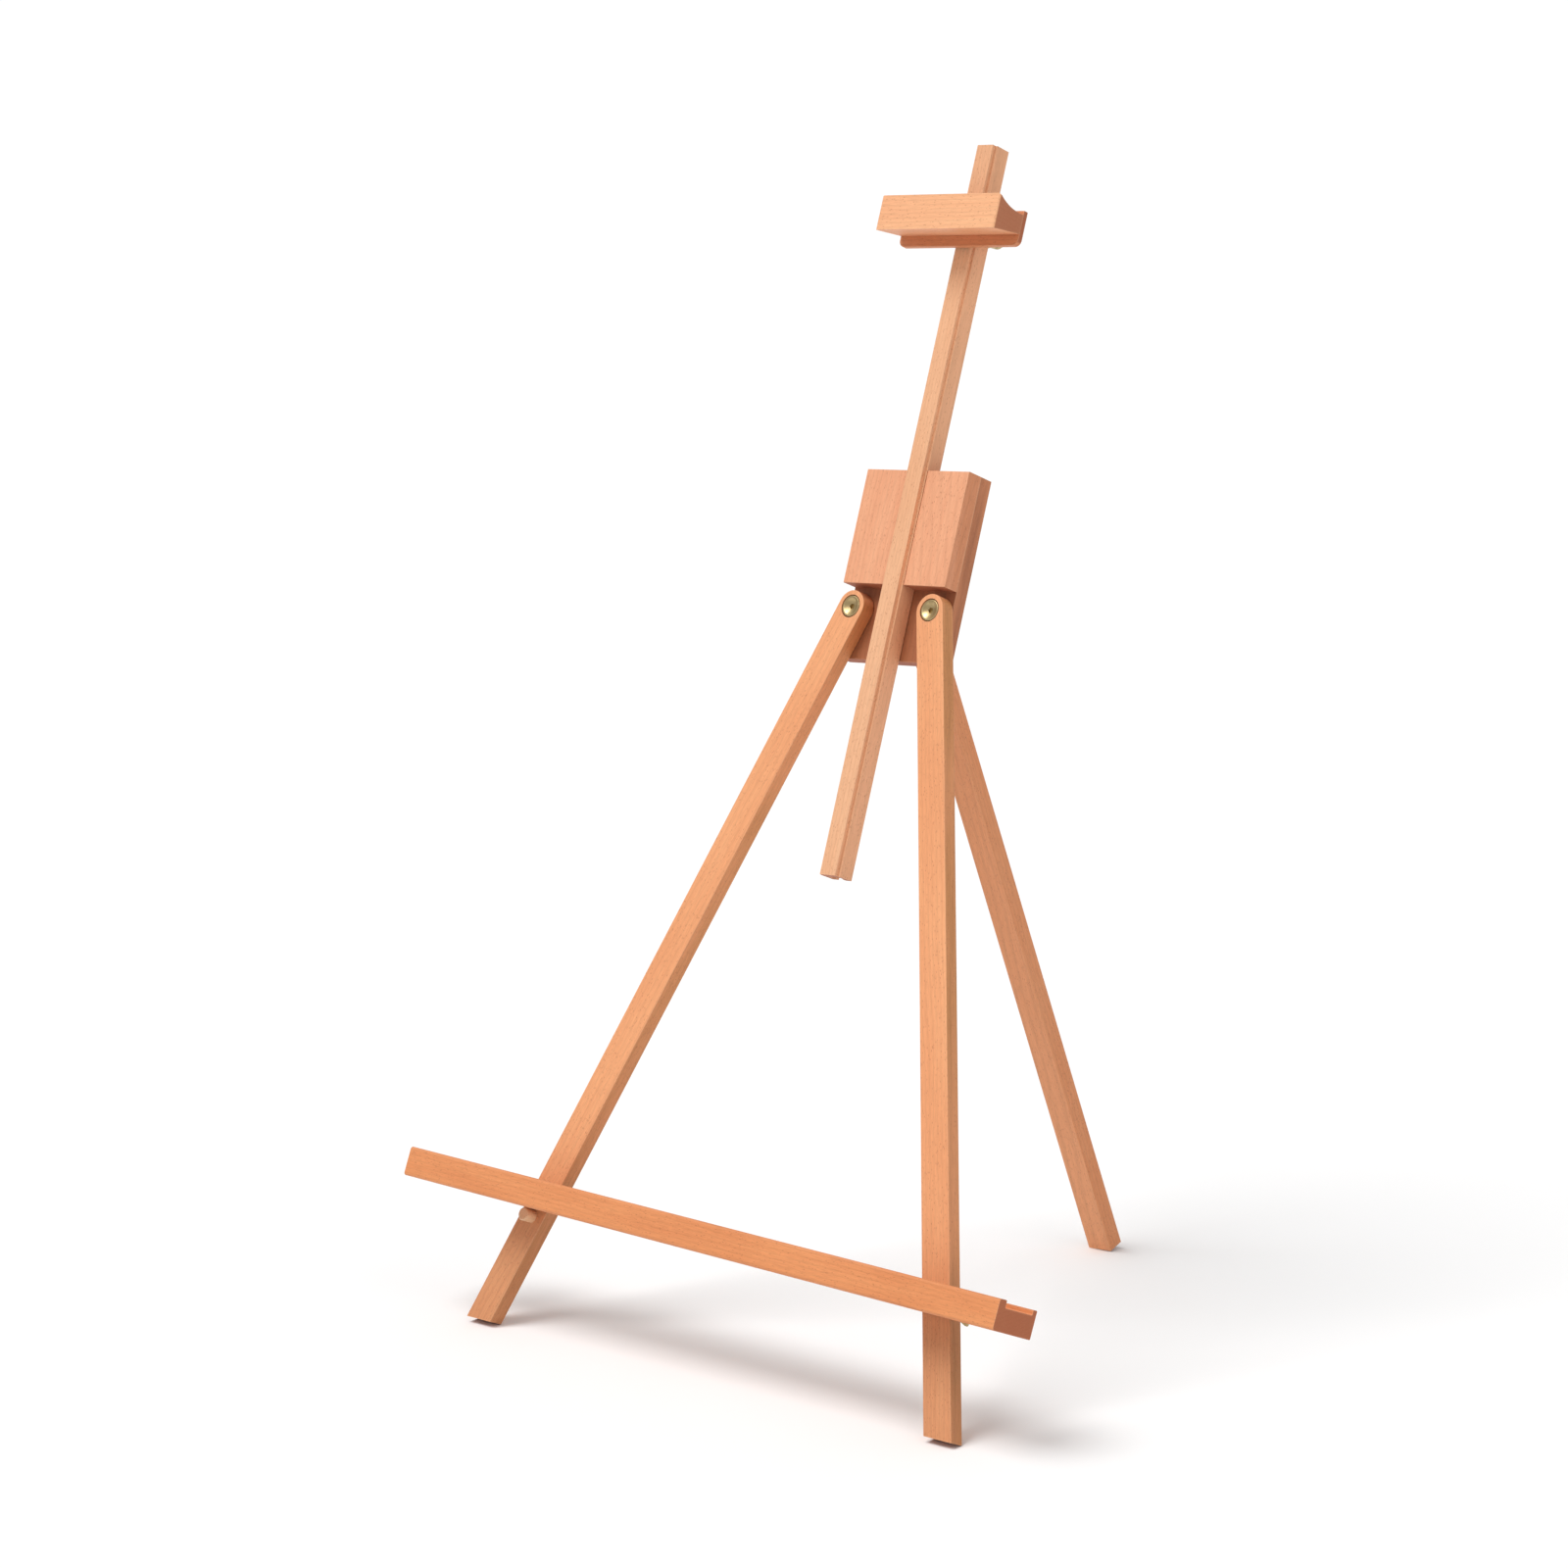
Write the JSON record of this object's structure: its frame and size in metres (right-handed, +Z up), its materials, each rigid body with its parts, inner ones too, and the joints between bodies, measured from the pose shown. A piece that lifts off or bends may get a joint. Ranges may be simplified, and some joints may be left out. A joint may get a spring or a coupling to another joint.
{
  "type": "tabletop tripod easel",
  "caption": "Wooden tabletop tripod easel: hinged rear leg, swinging front legs, sliding mast with a top clamp and a channelled canvas ledge that swings up.",
  "frame": {"origin": "middle of the footprint box at floor level, with the easel opened to stand", "axes": "+Z up; -Y is the front, where the canvas is; +X is the easel's right seen from the front"},
  "size_m": [0.4802, 0.3614, 0.6933],
  "materials": {
    "beech": "clear satin oil",
    "warm_beech": "clear satin oil",
    "pale_dowel": "clear satin oil",
    "brass": "satin",
    "zinc_steel": "zinc plated"
  },
  "bodies": {
    "head": {"back_board": "beech", "left_cheek": "beech", "right_cheek": "beech", "head_screws": "zinc_steel", "pivot_sleeve_left": "brass", "pivot_sleeve_right": "brass", "pivot_washer_left": "brass", "pivot_washer_right": "brass", "pivot_bolt_left": "brass", "pivot_bolt_right": "brass", "mast_lock_bolt": "zinc_steel", "mast_lock_washer": "brass", "hinge_board_leaf": "brass", "hinge_board_screws": "brass", "hinge_pin": "brass"},
    "mast_lock_nut": {"mast_lock_wing_nut": "brass"},
    "mast": {"mast": "beech"},
    "clamp": {"clamp_front_block": "warm_beech", "clamp_back_plate": "warm_beech", "clamp_sleeve_left": "beech", "clamp_sleeve_right": "beech", "clamp_keeper": "beech", "clamp_screws": "zinc_steel", "clamp_lock_bolt": "zinc_steel", "clamp_lock_washer": "brass"},
    "clamp_lock_nut": {"clamp_lock_wing_nut": "brass"},
    "left_leg": {"left_leg": "beech", "ledge_peg": "pale_dowel"},
    "right_leg": {"right_leg": "beech"},
    "rear_leg": {"rear_leg": "beech", "hinge_leg_leaf": "brass", "hinge_leg_screws": "brass"},
    "ledge": {"ledge": "warm_beech", "ledge_bolt": "zinc_steel", "ledge_washer": "brass"},
    "ledge_lock_nut": {"ledge_wing_nut": "brass"}
  },
  "joints": [
    {"name": "left_leg_swing", "type": "hinge", "parent": "head", "child": "left_leg", "pos_m": [-0.02563, 0.00955, 0.42801], "axis": [0, -0.9157, 0.4019], "range_deg": [0, 21]},
    {"name": "right_leg_swing", "type": "hinge", "parent": "head", "child": "right_leg", "pos_m": [0.03631, 0.01064, 0.43049], "axis": [0, 0.9157, -0.4019], "range_deg": [0, 16]},
    {"name": "rear_leg_fold", "type": "hinge", "parent": "head", "child": "rear_leg", "pos_m": [0.00559, 0.02882, 0.41493], "axis": [-0.999, -0.0175, -0.0399], "range_deg": [0, 42]},
    {"name": "mast_slide", "type": "slide", "parent": "head", "child": "mast", "axis": [-0.0436, 0.4016, 0.9148], "range_m": [-0.06, 0.15]},
    {"name": "clamp_slide", "type": "slide", "parent": "mast", "child": "clamp", "axis": [-0.0436, 0.4016, 0.9148], "range_m": [-0.065, 0.03]},
    {"name": "ledge_swing", "type": "hinge", "parent": "right_leg", "child": "ledge", "pos_m": [0.1669, -0.14623, 0.07314], "axis": [0, 0.9157, -0.4019], "range_deg": [0, 40]},
    {"name": "mast_nut_turn", "type": "hinge", "parent": "head", "child": "mast_lock_nut", "pos_m": [0.00316, 0.05425, 0.46442], "axis": [0, 0.9157, -0.4019], "continuous": true},
    {"name": "clamp_nut_turn", "type": "hinge", "parent": "clamp", "child": "clamp_lock_nut", "pos_m": [-0.00492, 0.12523, 0.63555], "axis": [0, 0.9157, -0.4019], "continuous": true},
    {"name": "ledge_nut_turn", "type": "hinge", "parent": "ledge", "child": "ledge_lock_nut", "pos_m": [0.1669, -0.13158, 0.06671], "axis": [0, 0.9157, -0.4019], "continuous": true}
  ]
}
